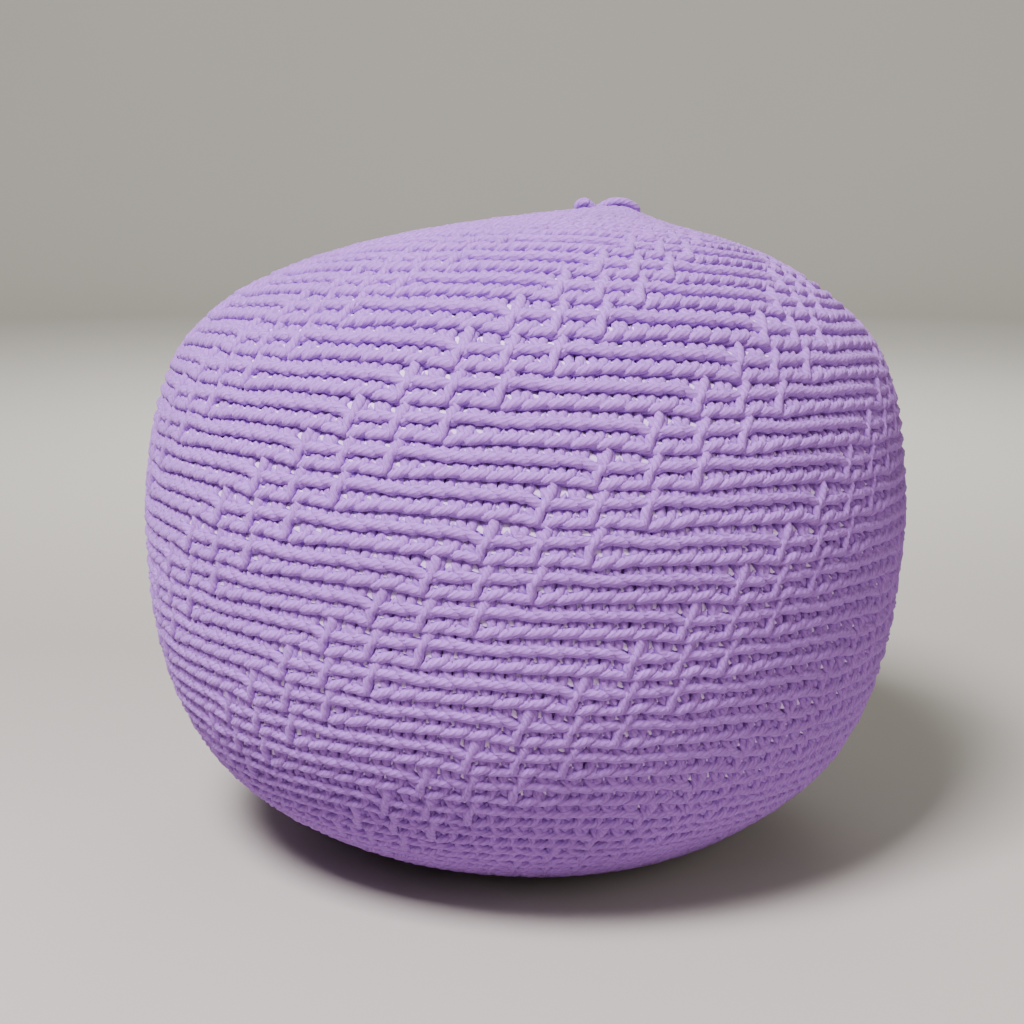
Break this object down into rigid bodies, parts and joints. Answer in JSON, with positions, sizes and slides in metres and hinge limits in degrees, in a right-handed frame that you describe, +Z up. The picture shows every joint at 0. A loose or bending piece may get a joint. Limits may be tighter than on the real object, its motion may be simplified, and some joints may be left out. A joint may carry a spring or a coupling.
{
  "type": "knitted pouf",
  "caption": "Round knitted cotton pouf: a ribbed cord cover with diagonal ladder stitches, drawn in at both ends over a filled casing and tied with a knot.",
  "frame": {"origin": "middle of the pouf's box, on the plane it rests on", "axes": "+Z up, -Y towards the front, +X to the right seen from the front"},
  "size_m": [0.521, 0.5205, 0.4415],
  "materials": {
    "yarn": "matte lilac cotton cord, knitted",
    "casing": "matte pale plain-woven cloth",
    "knot_yarn": "matte lilac cotton cord, knotted"
  },
  "bodies": {
    "root": {"knitted_cover": "yarn", "filled_casing": "casing", "closing_knot": "knot_yarn"}
  },
  "joints": []
}
